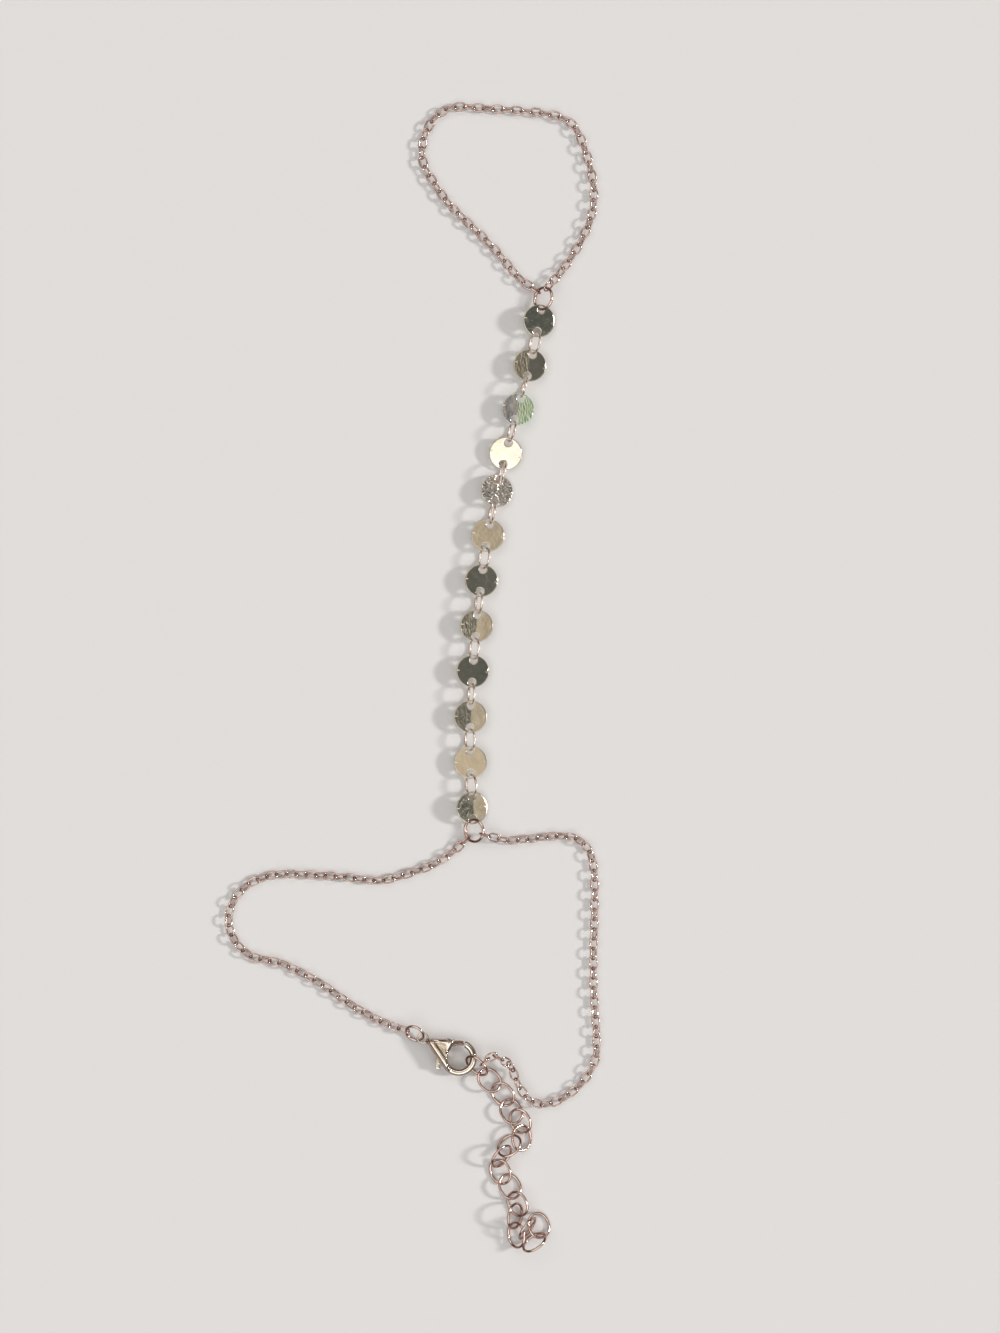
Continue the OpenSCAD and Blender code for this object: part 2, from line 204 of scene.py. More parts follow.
# Finishes

STEEP = "steep"
STEEP_WIDTH = 0.3               # upright share from the first mark to the full one
EVEN: Stretch = (1.0, 1.0, 1.0)
PATCH_SPAN = (0.38, 0.62)       # noise where the colour is all deep, and where it is all pale
GLOSS_SPAN = (0.35, 0.7)        # noise where the metal is most polished, and least
GLOSS_FINENESS = 4              # gloss patches for each patch of colour
SCRATCH_MM, SCRATCH_HIGH_MM = 0.6, 0.05
SCRATCH_STRETCH: Stretch = (1.0, 14.0, 1.0)
RUB_MM, RUB_HIGH_MM = 0.45, 0.08
RUB_STRETCH: Stretch = (1.6, 0.6, 1.0)
RUB_FADE_MM = (-0.2, 0.3)       # where a rub begins and where it is full, from its middle line


def mark_steep(obj: bpy.types.Object, level: float) -> None:
    """Marks how steep a piece's surface is at each point, for finishes with painted shade on their
    sides.

    The mark is 0 where the normal's upright share, up or down, is over the level, and grows
    evenly to 1 where it is under the level by the steep width.

    Args:
        obj: the piece.
        level: the upright share at which the mark starts.
    """
    mesh = obj.data
    normals = np.zeros(len(mesh.vertices) * 3, np.float32)
    mesh.vertex_normals.foreach_get("vector", normals)
    upright = np.abs(normals.reshape(-1, 3)[:, 2])
    mark = mesh.attributes.new(STEEP, "FLOAT", "POINT")
    share = np.clip((level - upright) / STEEP_WIDTH, 0, 1)
    mark.data.foreach_set("value", share.astype(np.float32))


@dataclass(frozen=True)
class MetalFinish:
    """A plated metal: its colours, its gloss and the marks on it.

    The colour goes from deep to pale with soft patches, the roughness from low to high with
    finer ones, and the bump is dents with hairline scratches over them. Where a piece is marked
    as steep, the colour gives way to the side colour, which is painted shade: darker sides that
    stand in for the dim room that the metal mirrors there. A rub is a coarser bump, and a painted
    tint of light if one is named, on one side of a line along Y: the right where rub_side is +1,
    the left where it is -1. The line lies at rub_middle, in metres.
    """

    name: str
    pale: Colour
    deep: Colour
    rough_low: float = 0.08
    rough_high: float = 0.22
    patch_mm: float = 2.0
    dent_mm: float = 0.8
    dent_depth: float = 0.05
    scratch_depth: float = 0.05
    scratch_turn: float = 0.5
    rub_side: float = 0.0
    rub_middle: float = 0.0
    rub_depth: float = 0.0
    painted_light_tint: Colour | None = None
    side: Colour | None = None

    def material(self) -> bpy.types.Material:
        """Builds the node tree.

        Returns:
            The material, or the one already made under this name.
        """
        made = bpy.data.materials.get(self.name)
        if made:
            return made
        material = bpy.data.materials.new(self.name)
        material.use_nodes = True
        tree = material.node_tree
        shader = tree.nodes["Principled BSDF"]
        shader.inputs["Metallic"].default_value = 1.0
        place = tree.nodes.new("ShaderNodeTexCoord")

        def noise(size_mm: float, detail: float, stretch: Stretch = EVEN, often: int = 1) -> Socket:
            """Noise on Object coordinates: soft patches of one size.

            Args:
                size_mm: the size of a patch.
                detail: how many finer layers it has.
                stretch: how many patches fit along each way for one that would fit evenly.
                often: how many patches lie along the size.

            Returns:
                The socket with the noise, 0 to 1.
            """
            mapping = tree.nodes.new("ShaderNodeMapping")
            mapping.inputs["Scale"].default_value = stretch
            mapping.inputs["Rotation"].default_value = (0.0, 0.0, self.scratch_turn)
            texture = tree.nodes.new("ShaderNodeTexNoise")
            texture.inputs["Scale"].default_value = often / (size_mm * MM)
            texture.inputs["Detail"].default_value = detail
            tree.links.new(place.outputs["Object"], mapping.inputs["Vector"])
            tree.links.new(mapping.outputs["Vector"], texture.inputs["Vector"])
            return texture.outputs["Fac"]

        def tinted(share: Socket, under: Socket, painted_tint: Colour) -> Socket:
            """A colour that gives way to a painted tint of light by a share: painted shade or painted
            reflection.

            Args:
                share: the painted tint's share, 0 to 1.
                under: the colour without it.
                painted_tint: the painted colour that takes its place.

            Returns:
                The socket with the mixed colour.
            """
            mix = tree.nodes.new("ShaderNodeMix")
            mix.data_type = "RGBA"
            mix.inputs["B"].default_value = (*painted_tint, 1.0)
            tree.links.new(share, mix.inputs["Factor"])
            tree.links.new(under, mix.inputs["A"])
            return mix.outputs["Result"]

        patches = noise(self.patch_mm, detail=3.0)
        colour = tree.nodes.new("ShaderNodeValToRGB")
        for stop, at, metal in zip(colour.color_ramp.elements, PATCH_SPAN, (self.deep, self.pale)):
            stop.position = at
            stop.color = (*metal, 1.0)
        tree.links.new(patches, colour.inputs["Fac"])
        shade = colour.outputs["Color"]
        # painted shade: where the steep mark is, the colour gives way to the darker side colour
        if self.side:
            steep = tree.nodes.new("ShaderNodeAttribute")
            steep.attribute_name = STEEP
            shade = tinted(steep.outputs["Fac"], shade, self.side)
        gloss = tree.nodes.new("ShaderNodeMapRange")
        gloss.inputs["From Min"].default_value = GLOSS_SPAN[0]
        gloss.inputs["From Max"].default_value = GLOSS_SPAN[1]
        gloss.inputs["To Min"].default_value = self.rough_low
        gloss.inputs["To Max"].default_value = self.rough_high
        fine = noise(self.patch_mm, detail=4.0, often=GLOSS_FINENESS)
        tree.links.new(fine, gloss.inputs["Value"])
        tree.links.new(gloss.outputs["Result"], shader.inputs["Roughness"])
        dents = tree.nodes.new("ShaderNodeBump")
        dents.inputs["Strength"].default_value = self.dent_depth
        dents.inputs["Distance"].default_value = self.dent_mm * MM
        tree.links.new(noise(self.dent_mm, detail=2.0), dents.inputs["Height"])
        scratches = tree.nodes.new("ShaderNodeBump")
        scratches.inputs["Strength"].default_value = self.scratch_depth
        scratches.inputs["Distance"].default_value = SCRATCH_HIGH_MM * MM
        hairlines = noise(SCRATCH_MM, detail=2.0, stretch=SCRATCH_STRETCH)
        tree.links.new(hairlines, scratches.inputs["Height"])
        tree.links.new(dents.outputs["Normal"], scratches.inputs["Normal"])
        last = scratches
        if self.rub_side:
            split = tree.nodes.new("ShaderNodeSeparateXYZ")
            tree.links.new(place.outputs["Object"], split.inputs["Vector"])
            share = tree.nodes.new("ShaderNodeMapRange")
            for end, fade in zip(("From Min", "From Max"), RUB_FADE_MM):
                share.inputs[end].default_value = self.rub_middle + fade * MM * self.rub_side
            tree.links.new(split.outputs["X"], share.inputs["Value"])
            depth = tree.nodes.new("ShaderNodeMath")
            depth.operation = "MULTIPLY"
            depth.inputs[1].default_value = self.rub_depth
            tree.links.new(share.outputs["Result"], depth.inputs[0])
            rubs = tree.nodes.new("ShaderNodeBump")
            rubs.inputs["Distance"].default_value = RUB_HIGH_MM * MM
            tree.links.new(depth.outputs["Value"], rubs.inputs["Strength"])
            tree.links.new(noise(RUB_MM, detail=4.0, stretch=RUB_STRETCH), rubs.inputs["Height"])
            tree.links.new(scratches.outputs["Normal"], rubs.inputs["Normal"])
            last = rubs
            # painted light: the rubbed side's colour gives way to the painted tint, a painted
            # reflection on a disc and painted shade on the lever's gate
            if self.painted_light_tint:
                shade = tinted(share.outputs["Result"], shade, self.painted_light_tint)
        tree.links.new(shade, shader.inputs["Base Color"])
        tree.links.new(last.outputs["Normal"], shader.inputs["Normal"])
        return material


# Each side colour is painted shade: steep wire flanks, clasp walls and plate rims are darkened to stand
# in for the dim room that the metal mirrors there.
FINE_GOLD = MetalFinish(
    "rose_gold_fine_chain", pale=(1.0, 0.76, 0.68), deep=(0.52, 0.345, 0.29),
    side=(0.44, 0.28, 0.235), rough_low=0.06, rough_high=0.18, patch_mm=0.9,
    dent_depth=0.03, scratch_depth=0.02)
LINK_GOLD = MetalFinish(
    "pale_rose_gold_link", pale=(1.0, 0.78, 0.70), deep=(0.66, 0.44, 0.375), side=(0.47, 0.30, 0.25),
    rough_low=0.06, rough_high=0.18, patch_mm=1.2)
RING_GOLD = MetalFinish(
    "pale_rose_gold_ring", pale=(1.0, 0.91, 0.84), deep=(0.78, 0.63, 0.55),
    rough_low=0.10, rough_high=0.26)
DISC_GOLD = MetalFinish(
    "champagne_mirror", pale=(0.86, 0.79, 0.66), deep=(0.78, 0.70, 0.56), side=(0.42, 0.37, 0.30),
    rough_low=0.05, rough_high=0.12, patch_mm=3.0, dent_mm=1.2, dent_depth=0.02, scratch_depth=0.10)
CRUMPLED_GOLD = replace(
    DISC_GOLD, pale=(1.0, 0.91, 0.81), deep=(0.86, 0.73, 0.63), rough_low=0.02, rough_high=0.04,
    patch_mm=0.7, dent_mm=0.3, dent_depth=0.22)
CLASP_GOLD = MetalFinish(
    "champagne_clasp", pale=(1.0, 0.94, 0.84), deep=(0.76, 0.63, 0.53), side=(0.36, 0.26, 0.215),
    rough_low=0.05, rough_high=0.12, patch_mm=2.2)
# The lever right of this line, its gate, gets the rub bump and a dark painted tint: painted shade.
LEVER_RUB_AND_SHADE_FROM_MM = 5.7
LEVER_GOLD = replace(
    CLASP_GOLD, name="champagne_lever", rub_side=1.0, rub_middle=LEVER_RUB_AND_SHADE_FROM_MM * MM,
    rub_depth=0.1, painted_light_tint=(0.24, 0.17, 0.14))


# Links and rings


@dataclass(frozen=True)
class LinkShape:
    """A closed wire loop: an oval between a stadium and an ellipse, or a plain ring.

    Length and width are measured over the outside, in millimetres, as is the wire's thickness.
    """

    length: float
    width: float
    wire: float
    steps_along: int = 48
    steps_round: int = 12
    bow: float = 0.5

    def surface(self) -> tuple[np.ndarray, np.ndarray]:
        """The loop's surface on a grid of two parameters.

        The first parameter runs along the wire's middle line. In a stadium it turns a full circle
        of the bend's radius, and the half that points along the link is moved out along it by
        half of the straight wire's length; in an ellipse the circle is stretched instead. The
        line lies between the two by the share named bow. The second one runs round the wire's
        section, a circle whose cosine points out of the loop and whose sine points off its plane.

        Returns:
            Points in metres in the link's own axes, and quads.
        """
        bend = (self.width - self.wire) / 2
        straight = (self.length - self.width) / 2
        turn = (np.arange(self.steps_along) + 0.5) * 2 * math.pi / self.steps_along
        reach = (1 - self.bow) * np.sign(np.cos(turn)) + self.bow * np.cos(turn)
        x, y = bend * np.cos(turn) + straight * reach, bend * np.sin(turn)
        middle = np.stack([x, y, 0 * turn], axis=1)
        along = np.roll(middle, -1, axis=0) - np.roll(middle, 1, axis=0)
        out = np.stack([along[:, 1], -along[:, 0], 0 * turn], axis=1)
        out /= np.linalg.norm(along, axis=1)[:, None]
        section = np.arange(self.steps_round) * 2 * math.pi / self.steps_round
        up = np.array([0.0, 0.0, 1.0])
        off = np.cos(section)[None, :, None] * out[:, None] + np.sin(section)[None, :, None] * up
        points = middle[:, None] + self.wire / 2 * off
        return points.reshape(-1, 3) * MM, grid_quads(self.steps_along, self.steps_round, True, True)


@dataclass(frozen=True)
class WirePiece:
    """A piece made of equal wire loops, one at each solid of its CAD node."""

    node: str
    name: str
    shape: LinkShape
    finish: MetalFinish
    slot: str
    steep_level: float = 0.92

    def build(self) -> bpy.types.Object:
        """Lays one loop at each solid and joins them into one mesh.

        Returns:
            The dressed piece, riding on the bracelet.
        """
        places = Places.of(self.node)
        points, quads = self.shape.surface()
        laid = places.put(points)
        every = quads[None] + np.arange(len(laid))[:, None, None] * len(points)
        obj = make_object(self.name, laid.reshape(-1, 3), every.reshape(-1, 4))
        mark_steep(obj, self.steep_level)
        return dress(obj, self.finish, self.slot, BODY, self.node)


def dress(obj: bpy.types.Object, finish: MetalFinish, slot: str, body: str,
          *nodes: str) -> bpy.types.Object:
    """Gives a piece its finish, its body and the CAD nodes that it stands for.

    Args:
        obj: the piece.
        finish: its metal.
        slot: the record's material slot; not used.
        body: the body that it rides on.
        nodes: the CAD nodes that it replaces.

    Returns:
        The same piece.
    """
    obj.data.materials.clear()
    obj.data.materials.append(finish.material())
    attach(obj, body)
    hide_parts(*nodes)
    log.info("%s: %d faces, for %s", obj.name, len(obj.data.polygons), ", ".join(nodes))
    return obj


@dataclass(frozen=True)
class Chains:
    """The three fine chains, the rings and the extender's links."""

    fine: LinkShape = LinkShape(length=2.2, width=1.45, wire=0.27, steps_along=20, steps_round=8)
    disc_ring: LinkShape = LinkShape(length=3.6, width=3.6, wire=0.4)
    end_ring: LinkShape = LinkShape(length=3.9, width=3.9, wire=0.45)
    clasp_ring: LinkShape = LinkShape(length=3.3, width=3.3, wire=0.42)
    extender: LinkShape = LinkShape(length=4.32, width=3.67, wire=0.42)
    disc_rings: int = 11
    extender_links: int = 16

    def pieces(self) -> list[WirePiece]:
        """Lists every wire piece with its shape and finish.

        Returns:
            The fine chains first, then the rings, then the extender's links.
        """
        fine = [WirePiece(node, f"{node}_links", self.fine, FINE_GOLD, "fine_chain_metal")
                for node in ("finger_chain", "wrist_chain_left", "wrist_chain_right")]
        singles = [("finger_ring", self.end_ring, LINK_GOLD, "ring_metal"),
                   ("wrist_ring", self.end_ring, LINK_GOLD, "ring_metal"),
                   ("clasp_ring", self.clasp_ring, LINK_GOLD, "ring_metal")]
        singles += [(f"disc_ring_{i:02d}", self.disc_ring, RING_GOLD, "ring_metal")
                    for i in range(1, self.disc_rings + 1)]
        singles += [(f"extender_link_{i:02d}", self.extender, LINK_GOLD, "extender_metal")
                    for i in range(1, self.extender_links + 1)]
        return fine + [WirePiece(node, f"{node}_wire", shape, finish, slot)
                       for node, shape, finish, slot in singles]

    def build(self) -> None:
        """Builds every wire piece in turn."""
        for piece in self.pieces():
            piece.build()


# Discs

FOLD_ROUND_MM = 0.1
CRUMPLE_WAVES = 9
CRUMPLE_PER_MM = (6.0, 12.0)    # least and greatest fineness of a wave
CRUMPLE_SLOPE = 0.053
CRUMPLE_MEAN = 0.6              # taken off each wave, so that the plate stays about its plane
DEEP_SHARE = 0.85               # of a disc's own metal, where it is deepest
SCRATCH_TURN_EACH = 0.6         # radians from one disc's scratches to the next one's


class Face(Enum):
    """How a disc's thin metal is marked."""

    PLAIN = "plain"
    RUBBED_LEFT = "rubbed_left"
    RUBBED_RIGHT = "rubbed_right"
    CRUMPLED = "crumpled"


@dataclass(frozen=True)
class Disc:
    """One disc: a thin round plate with two holes, slightly bent.

    Lengths are in millimetres. A bend is how far the rim falls across X or Y, a rise is the
    slope of the plate on one side of the fold, metal is a colour that replaces the common one,
    and painted_tint is a painted reflection laid over the rubbed side.
    """

    number: int
    face: Face = Face.PLAIN
    bend_x: float = 0.0
    bend_y: float = 0.0
    fold_at: float = 0.0
    rise_left: float = 0.0
    rise_right: float = 0.0
    painted_tint: Colour | None = None
    metal: Colour | None = None
    rub_depth: float = 0.5
    diameter: float = 5.1
    thickness: float = 0.25
    hole_diameter: float = 1.2
    hole_edge: float = 0.2
    edge: float = 0.12
    rays: int = 96
    steps: int = 36
    steep_level: float = 0.84

    def height(self, x: np.ndarray, y: np.ndarray) -> np.ndarray:
        """How far the plate stands off its middle plane, in millimetres.

        A dome is a parabola across each way. A fold lets each side rise or fall evenly from a
        line along Y, rounded off at it: half of the distance plus or minus its smooth size.
        Crumples add folded waves in a few set directions.

        Args:
            x: place across the disc line.
            y: place along it.

        Returns:
            The height at each place.
        """
        h = -self.bend_x * (x / (self.diameter / 2)) ** 2 - self.bend_y * (y / (self.diameter / 2)) ** 2
        across = x - self.fold_at
        size = np.sqrt(across ** 2 + FOLD_ROUND_MM ** 2)
        h = h + self.rise_right * (size + across) / 2 + self.rise_left * (size - across) / 2
        if self.face is Face.CRUMPLED:
            rng = np.random.default_rng(self.number)
            for turn in rng.uniform(0, math.pi, CRUMPLE_WAVES):
                wave = rng.uniform(*CRUMPLE_PER_MM)
                phase = rng.uniform(0, 2 * math.pi)
                along = x * math.cos(turn) + y * math.sin(turn)
                h = h + CRUMPLE_SLOPE / wave * (np.abs(np.sin(wave * along + phase)) - CRUMPLE_MEAN)
        return h

    def surface(self) -> tuple[np.ndarray, np.ndarray]:
        """The plate's closed surface.

        Each half of the disc is a grid of rays from its hole: the first parameter is the ray's
        direction, and the second runs from the hole's edge to the rim or to the middle line.
        Near the hole and the rim both faces curve in by a quarter circle, and short walls join them.

        Returns:
            Points in metres in the disc's own axes, and quads.
        """
        big, small = self.diameter / 2, self.hole_diameter / 2
        hole_y = big - self.hole_edge - small
        corner = math.atan2(-hole_y, big)
        arc = np.linspace(corner, math.pi - corner, 2 * self.rays // 3)
        chord = np.linspace(math.pi - corner, 2 * math.pi + corner, self.rays // 3 + 1)[1:-1]
        turn = np.concatenate([arc, chord])
        way = np.stack([np.cos(turn), np.sin(turn)], axis=1)
        reach = -hole_y * way[:, 1] + np.sqrt(big ** 2 - (hole_y * way[:, 0]) ** 2)
        reach[len(arc):] = -hole_y / way[len(arc):, 1]
        share = (1 - np.cos(np.linspace(0, math.pi, self.steps))) / 2
        far = small + (reach[:, None] - small) * share[None]
        x = way[:, :1] * far
        y = hole_y + way[:, 1:] * far
        edge_gap = np.minimum(big - np.hypot(x, y), far - small)
        inset = np.clip(1 - edge_gap / self.edge, 0, 1)
        half = self.thickness / 2 - self.edge * (1 - np.sqrt(1 - inset ** 2))
        count = len(turn)
        sheets = []
        for side in (1, -1):
            for way_y in (1, -1):
                bent = self.height(x, y * way_y)
                sheets.append(np.stack([x, y * way_y, bent + side * half], axis=-1).reshape(-1, 3))
        plain = grid_quads(count, self.steps, True, False)
        quads = []
        for number, (side, way_y) in enumerate(((1, 1), (1, -1), (-1, 1), (-1, -1))):
            outward = plain if side * way_y < 0 else plain[:, ::-1]
            quads.append(outward + number * count * self.steps)
        ray = np.arange(count)
        following = (ray + 1) % count
        wall_at = [(ray, following, 0), (ray[:len(arc) - 1], following[:len(arc) - 1], self.steps - 1)]
        for top, low, way_y in ((0, 2, 1), (1, 3, -1)):
            for a, b, column in wall_at:
                base_top, base_low = top * count * self.steps, low * count * self.steps
                wall = np.stack([base_top + a * self.steps, base_top + b * self.steps,
                                 base_low + b * self.steps, base_low + a * self.steps], axis=1)
                wall += column
                inward = (column == 0) == (way_y > 0)
                quads.append(wall if inward else wall[:, ::-1])
        return welded(np.concatenate(sheets) * MM, np.concatenate(quads))

    def finish(self, middle_x: float) -> MetalFinish:
        """The disc's own finish: the common mirror metal, with its marks, and its painted reflection if
        it has one, at its place.

        Args:
            middle_x: where the disc's middle lies along X, in metres.

        Returns:
            The finish, named for the disc.
        """
        side = {Face.RUBBED_LEFT: -1.0, Face.RUBBED_RIGHT: 1.0}.get(self.face, 0.0)
        changes: dict[str, object] = {"name": f"champagne_mirror_{self.number:02d}",
                                      "scratch_turn": SCRATCH_TURN_EACH * self.number}
        if side:
            changes.update(rub_side=side, rub_middle=middle_x + self.fold_at * MM,
                           rub_depth=self.rub_depth)
        # painted reflection: the tint laid over the rubbed side
        if self.painted_tint:
            changes["painted_light_tint"] = self.painted_tint
        if self.metal:
            changes.update(pale=self.metal, deep=tuple(DEEP_SHARE * part for part in self.metal))
        return replace(CRUMPLED_GOLD if self.face is Face.CRUMPLED else DISC_GOLD, **changes)

    def build(self) -> bpy.types.Object:
        """Lays the disc where its CAD node lies.

        Returns:
            The dressed disc.
        """
        node = f"disc_{self.number:02d}"
        places = Places.of(node)
        points, quads = self.surface()
        obj = make_object(f"{node}_plate", places.put(points)[0], quads)
        mark_steep(obj, self.steep_level)
        finish = self.finish(float(places.middles[0, 0]))
        return dress(obj, finish, "disc_metal", BODY, node)


DISCS = (
    Disc(1, Face.PLAIN, bend_x=0.01, bend_y=0.02),
    Disc(2, Face.RUBBED_LEFT, bend_x=0.01, bend_y=0.01, rub_depth=1.0),
    # Disc 3's green tint on its right half is a painted reflection of green surroundings.
    Disc(3, Face.RUBBED_RIGHT, rise_left=0.008, rise_right=0.02, painted_tint=(0.80, 1.0, 0.78),
         metal=(0.88, 0.86, 0.86), rub_depth=1.0),
    Disc(4, Face.PLAIN, bend_y=0.01),
    Disc(5, Face.CRUMPLED, rays=200, steps=72),
    Disc(6, Face.PLAIN, bend_y=0.005, rise_left=0.02, rise_right=-0.02),
    Disc(7, Face.RUBBED_RIGHT, bend_x=0.005, bend_y=0.01, rise_left=0.012, rise_right=-0.012,
         rub_depth=0.15),
    Disc(8, Face.RUBBED_LEFT, fold_at=-0.1, rise_right=0.085, rub_depth=0.7),
    Disc(9, Face.PLAIN, bend_x=0.01, bend_y=0.01),
    Disc(10, Face.RUBBED_LEFT, rise_right=0.085, rub_depth=0.4),
    Disc(11, Face.PLAIN, bend_y=0.005),
    Disc(12, Face.RUBBED_LEFT, fold_at=0.1, rise_right=-0.115),
)


# Clasp

ENLARGED = 100.0
BELL_POWER = 4


@dataclass(frozen=True)
class Relief:
    """A soft ridge, or a hollow if its height is negative, on the clasp's upper face."""

    start: tuple[float, float]
    end: tuple[float, float]
    height: float
    left_wide: float
    right_wide: float

    def lift(self, points: np.ndarray) -> np.ndarray:
        """How far the ridge lifts each point.

        The lift is a flat-topped bell over the distance to the line from start to end, which is
        the height times e to the power of minus the fourth power of distance over width. Each
        side of the line has its own width, as seen from start to end.

        Args:
            points: points in millimetres.

        Returns:
            The lift of each point in millimetres.
        """
        start, end = np.array(self.start), np.array(self.end)
        way = end - start
        share = np.clip((points[:, :2] - start) @ way / (way @ way), 0, 1)
        off = points[:, :2] - start - share[:, None] * way
        to_left = way[0] * off[:, 1] - way[1] * off[:, 0] > 0
        wide = np.where(to_left, self.left_wide, self.right_wide)
        return self.height * np.exp(-(np.linalg.norm(off, axis=1) / wide) ** BELL_POWER)


@dataclass(frozen=True)
class Clasp:
    """The lobster clasp's two pieces, cast with round edges."""

    cell_mm: float = 0.05
    body_smooth_times: int = 60
    lever_smooth_times: int = 24
    smooth_pull: float = 0.5
    weld: float = 0.0005
    steep_level: float = 0.9
    relief_from_z: float = 1.35
    relief_full_after: float = 0.3
    reliefs: tuple[Relief, ...] = (
        Relief((3.3, -57.1), (5.85, -60.9), height=0.2, left_wide=0.2, right_wide=0.62),
        Relief((3.2, -56.6), (5.4, -57.0), height=0.12, left_wide=0.25, right_wide=0.25))

    def even_cells(self, node: str) -> tuple[np.ndarray, np.ndarray]:
        """Covers a copy of a node's solid with small even faces.

        The copy is enlarged while it is covered, because the cells have a least size.

        Args:
            node: the CAD node.

        Returns:
            Points in metres and quads.
        """
        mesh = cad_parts[node].data.copy()
        work = bmesh.new()
        work.from_mesh(mesh)
        bmesh.ops.remove_doubles(work, verts=work.verts, dist=self.weld * MM)
        bmesh.ops.scale(work, verts=work.verts, vec=(ENLARGED,) * 3)
        work.to_mesh(mesh)
        work.free()
        helper = bpy.data.objects.new(f"{node}_helper", mesh)
        bpy.context.scene.collection.objects.link(helper)
        cells = helper.modifiers.new("even_cells", "REMESH")
        cells.mode = "VOXEL"
        cells.voxel_size = self.cell_mm * MM * ENLARGED
        graph = bpy.context.evaluated_depsgraph_get()
        covered = bpy.data.meshes.new_from_object(helper.evaluated_get(graph))
        points = np.zeros(len(covered.vertices) * 3, np.float32)
        covered.vertices.foreach_get("co", points)
        quads = np.zeros(len(covered.loops), np.int32)
        covered.loops.foreach_get("vertex_index", quads)
        bpy.data.objects.remove(helper)
        bpy.data.meshes.remove(mesh)
        bpy.data.meshes.remove(covered)
        return points.reshape(-1, 3).astype(np.float64) / ENLARGED, quads.reshape(-1, 4)

    def rounded(self, points: np.ndarray, quads: np.ndarray, times: int) -> np.ndarray:
        """Draws each point towards the mean of its neighbours, which rounds edges.

        Args:
            points: points in metres.
            quads: the faces between them.
            times: how often it is done.

        Returns:
            The moved points.
        """
        one = quads.ravel()
        other = np.roll(quads, -1, axis=1).ravel()
        count = np.bincount(one, minlength=len(points))[:, None]
        for _ in range(times):
            near = np.stack([np.bincount(one, points[other, k], len(points))
                             for k in range(3)], axis=1)
            points = points + self.smooth_pull * (near / count - points)
        return points

    def cast(self, node: str, name: str, body: str, finish: MetalFinish,
             times: int) -> bpy.types.Object:
        """Makes one piece of the clasp from its node's solid, as a cast and polished part.

        The reliefs lift the body's upper half only: not at all below one height, and fully from
        a little over it.

        Args:
            node: the CAD node.
            name: the piece's name.
            body: the body that it rides on.
            finish: its metal.
            times: how often its points are drawn together.

        Returns:
            The dressed piece.
        """
        points, quads = self.even_cells(node)
        points = self.rounded(points, quads, times)
        if body == BODY:
            upper = (points[:, 2] / MM - self.relief_from_z) / self.relief_full_after
            upper = np.clip(upper, 0, 1)
            points[:, 2] += MM * upper * sum(relief.lift(points / MM) for relief in self.reliefs)
        obj = make_object(name, points, quads)
        mark_steep(obj, self.steep_level)
        return dress(obj, finish, "clasp_metal", body, node)

    def build(self) -> None:
        """Builds the body and the lever."""
        self.cast("clasp_body", "clasp_claw_and_back", BODY, CLASP_GOLD, self.body_smooth_times)
        self.cast("clasp_lever", "clasp_thumb_lever", LEVER, LEVER_GOLD, self.lever_smooth_times)


# Studio


